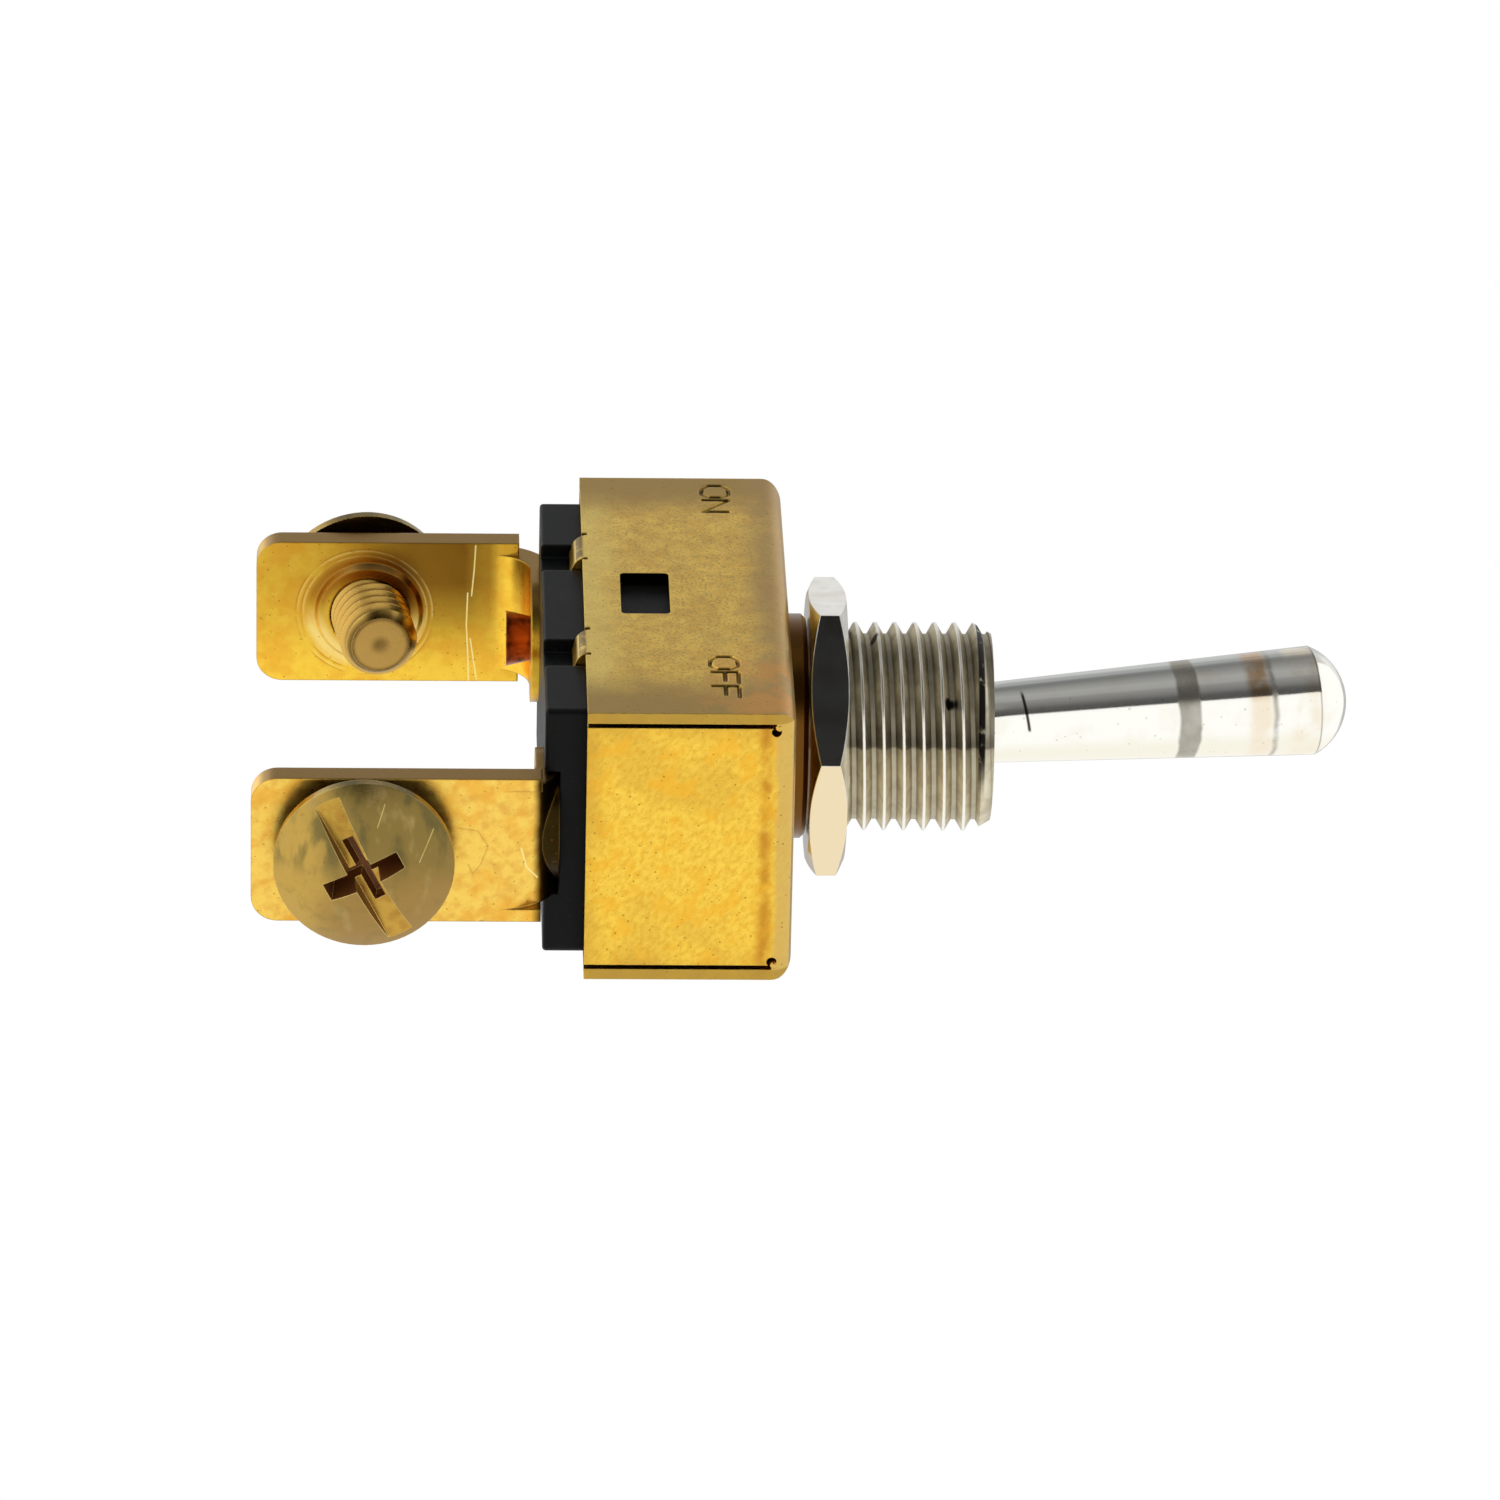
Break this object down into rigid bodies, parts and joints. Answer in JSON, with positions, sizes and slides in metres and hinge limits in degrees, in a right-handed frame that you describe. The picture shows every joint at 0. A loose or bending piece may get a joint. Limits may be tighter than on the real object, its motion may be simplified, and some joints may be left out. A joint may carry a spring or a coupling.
{
  "type": "toggle switch",
  "caption": "Heavy-duty on-off toggle switch with a folded brass case, a threaded panel bushing with a hexagon nut, a chromed bat lever and screw terminals.",
  "frame": {"origin": "on the bushing's axis at the nut's upper face, where the back of a panel sits", "axes": "+Z out through the bushing towards the lever's end, X along the lever's swing with ON at -X, -Y out of the stamped long side"},
  "size_m": [0.0359, 0.0156, 0.0586],
  "materials": {
    "case_brass": "tarnished rolled brass",
    "terminal_brass": "scratched rolled brass",
    "screw_brass": "dull turned brass",
    "rivet_copper": "dark copper alloy",
    "strip_brass": "plain brass strip",
    "nickel": "nickel plate, worn",
    "chrome": "bright chrome plate",
    "steel": "plain steel",
    "silver": "silver alloy",
    "phenolic": "moulded black phenolic",
    "fibre": "pressed fibre sheet",
    "nylon": "natural nylon"
  },
  "bodies": {
    "body": {"case": "case_brass", "bushing": "nickel", "base": "phenolic", "fibre_insulator": "fibre", "load_terminal": "terminal_brass", "supply_terminal": "terminal_brass", "load_rivet": "rivet_copper", "supply_rivet": "rivet_copper", "load_strip": "strip_brass", "supply_strip": "strip_brass", "fixed_contact": "silver"},
    "lever": {"toggle_lever": "chrome", "lever_pin": "steel", "plunger_spring": "steel"},
    "plunger": {"plunger": "nylon"},
    "rocker": {"rocker": "strip_brass", "moving_contact": "silver"},
    "panel_nut": {"panel_nut": "nickel"},
    "load_screw": {"load_screw": "screw_brass"},
    "supply_screw": {"supply_screw": "screw_brass"}
  },
  "joints": [
    {"name": "lever_swing", "type": "hinge", "parent": "body", "child": "lever", "pos_m": [0, 0, 0.0048], "axis": [0, 1, 0], "range_deg": [0, 19]},
    {"name": "plunger_slide", "type": "slide", "parent": "lever", "child": "plunger", "axis": [-0.165, 0, 0.9863], "range_m": [0, 0.0006], "stiffness_N_per_m": 400, "deforming": ["plunger_spring"]},
    {"name": "rocker_tilt", "type": "hinge", "parent": "body", "child": "rocker", "pos_m": [0, 0, -0.011], "axis": [0, 1, 0], "range_deg": [-16, 0]},
    {"name": "nut_turn", "type": "hinge", "parent": "body", "child": "panel_nut", "pos_m": [0, 0, -0.001], "axis": [0, 0, 1], "continuous": true},
    {"name": "load_screw_turn", "type": "hinge", "parent": "body", "child": "load_screw", "pos_m": [0.0148, 0, -0.02557], "axis": [1, 0, 0], "continuous": true},
    {"name": "supply_screw_turn", "type": "hinge", "parent": "body", "child": "supply_screw", "pos_m": [-0.0148, 0, -0.02557], "axis": [-0.9877, 0, -0.1564], "continuous": true}
  ],
  "couplings": [
    {"joint": "rocker_tilt", "follows": "lever_swing", "ratio": -0.84211}
  ]
}
